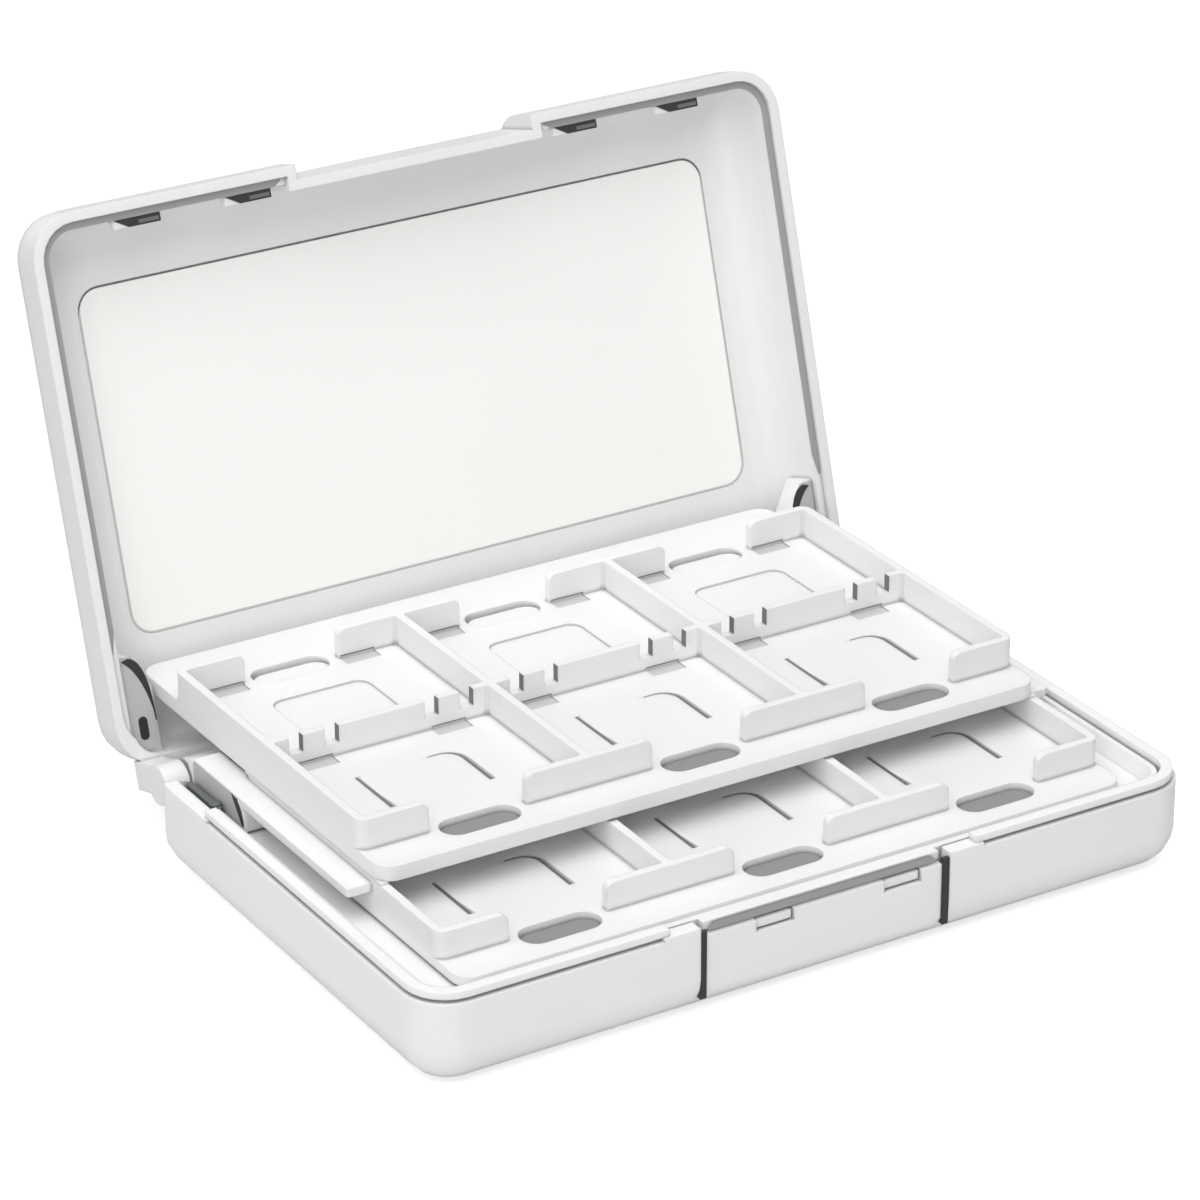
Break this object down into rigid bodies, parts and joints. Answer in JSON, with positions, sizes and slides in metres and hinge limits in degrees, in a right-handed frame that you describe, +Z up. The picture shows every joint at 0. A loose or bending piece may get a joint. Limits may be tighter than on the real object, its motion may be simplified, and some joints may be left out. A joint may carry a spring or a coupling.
{
  "type": "game card case",
  "caption": "Hinged plastic case for small game cards, standing open, with stepped trays of card cells and a sliding upper tray.",
  "frame": {"origin": "middle of the flat underside", "axes": "+X to the right, +Y to the back where the lid is hinged, +Z up"},
  "size_m": [0.1164, 0.1122, 0.0812],
  "materials": {
    "white_plastic": "fine satin moulded shell",
    "frame_plastic": "fine satin moulded liner",
    "tray_plastic": "plain moulded tray",
    "panel_plastic": "smooth thin sheet",
    "clip_plastic": "plain grey",
    "pin_steel": "drawn wire"
  },
  "bodies": {
    "base": {"base_shell": "white_plastic", "inner_frame": "frame_plastic", "lower_tray": "tray_plastic", "left_hinge_pin": "pin_steel", "right_hinge_pin": "pin_steel", "left_detent_clip": "clip_plastic", "right_detent_clip": "clip_plastic"},
    "lid": {"lid_shell": "white_plastic", "lid_insert_panel": "panel_plastic"},
    "upper_tray": {"upper_tray": "tray_plastic"}
  },
  "joints": [
    {"name": "lid_hinge", "type": "hinge", "parent": "base", "child": "lid", "pos_m": [0, 0.03907, 0.0091], "axis": [1, 0, 0], "range_deg": [0, 106.5]},
    {"name": "upper_tray_slide", "type": "slide", "parent": "base", "child": "upper_tray", "axis": [0, -1, 0], "range_m": [0, 0.01971]}
  ],
  "couplings": [
    {"joint": "upper_tray_slide", "follows": "lid_hinge", "m_per_rad": 0.010598}
  ]
}
